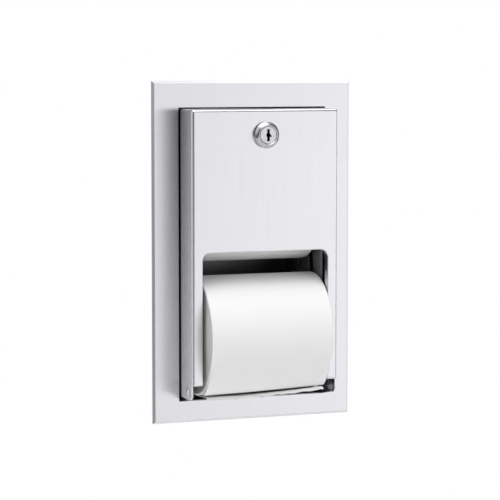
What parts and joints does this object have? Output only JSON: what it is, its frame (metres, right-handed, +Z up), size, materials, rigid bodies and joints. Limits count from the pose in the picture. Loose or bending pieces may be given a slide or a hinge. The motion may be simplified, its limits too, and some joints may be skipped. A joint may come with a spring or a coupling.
{
  "type": "recessed toilet paper dispenser",
  "caption": "Recessed stainless dispenser that holds a toilet roll in use under a drop-down door and a reserve roll above it on a bail.",
  "frame": {"origin": "middle of the flange's back rim, on the wall's surface", "axes": "+X to the right seen from the front, +Y back into the wall, +Z up; the front faces -Y"},
  "size_m": [0.194, 0.1428, 0.314],
  "materials": {
    "flange_steel": "satin, brushed vertically",
    "door_steel": "satin, brushed vertically",
    "cabinet_steel": "dull mill finish",
    "guide_steel": "dull mill finish",
    "lever_steel": "dull mill finish",
    "rivet_steel": "bright",
    "lock_chrome": "polished",
    "lock_zinc": "zinc plated",
    "spindle_plastic": "moulded, fine matt",
    "paper": "soft tissue, lightly embossed",
    "cardboard": "plain grey-brown board"
  },
  "bodies": {
    "cabinet": {"cabinet_shell": "cabinet_steel", "wall_flange": "flange_steel", "guide_plate_left": "guide_steel", "guide_plate_right": "guide_steel", "guide_plate_rivets": "rivet_steel", "lock_strike": "guide_steel", "strike_rivets": "rivet_steel", "hinge_rivet_left": "rivet_steel", "hinge_rivet_right": "rivet_steel", "hinge_washers": "rivet_steel", "lever_pivot_left": "lever_steel", "lever_pivot_right": "lever_steel"},
    "door": {"door_panel": "door_steel", "lock_case": "lock_chrome", "lock_washer": "lock_zinc", "lock_nut": "lock_zinc"},
    "lock": {"lock_plug": "lock_chrome", "lock_cam": "lock_zinc", "cam_screw": "lock_zinc"},
    "lower_spindle": {"lower_spindle": "spindle_plastic", "loose_turn": "paper", "loose_sheet": "paper"},
    "lower_roll": {"lower_roll_paper": "paper", "lower_roll_core": "cardboard"},
    "reserve_spindle": {"reserve_spindle": "spindle_plastic"},
    "reserve_roll": {"reserve_roll_paper": "paper", "reserve_roll_core": "cardboard"},
    "bail": {"drop_lever_left": "lever_steel", "drop_lever_right": "lever_steel", "feeler_bar": "lever_steel"}
  },
  "joints": [
    {"name": "door_hinge", "type": "hinge", "parent": "cabinet", "child": "door", "pos_m": [0, -0.025, -0.125], "axis": [1, 0, 0], "range_deg": [0, 155]},
    {"name": "lock_turn", "type": "hinge", "parent": "door", "child": "lock", "pos_m": [0, -0.038, 0.10825], "axis": [0, -1, 0], "range_deg": [0, 90]},
    {"name": "lower_spindle_lift", "type": "slide", "parent": "cabinet", "child": "lower_spindle", "axis": [0, 0.1812, 0.9834], "range_m": [0, 0.008]},
    {"name": "lower_roll_spin", "type": "hinge", "parent": "lower_spindle", "child": "lower_roll", "pos_m": [0, -0.0014, -0.0771], "axis": [1, 0, 0], "continuous": true},
    {"name": "reserve_spindle_lift", "type": "slide", "parent": "cabinet", "child": "reserve_spindle", "axis": [0, 0.1812, 0.9834], "range_m": [0, 0.008]},
    {"name": "reserve_roll_spin", "type": "hinge", "parent": "reserve_spindle", "child": "reserve_roll", "pos_m": [0, 0.021, 0.04445], "axis": [1, 0, 0], "continuous": true},
    {"name": "bail_swing", "type": "hinge", "parent": "cabinet", "child": "bail", "pos_m": [0, 0.04, -0.00005], "axis": [1, 0, 0], "range_deg": [0, 10]}
  ]
}
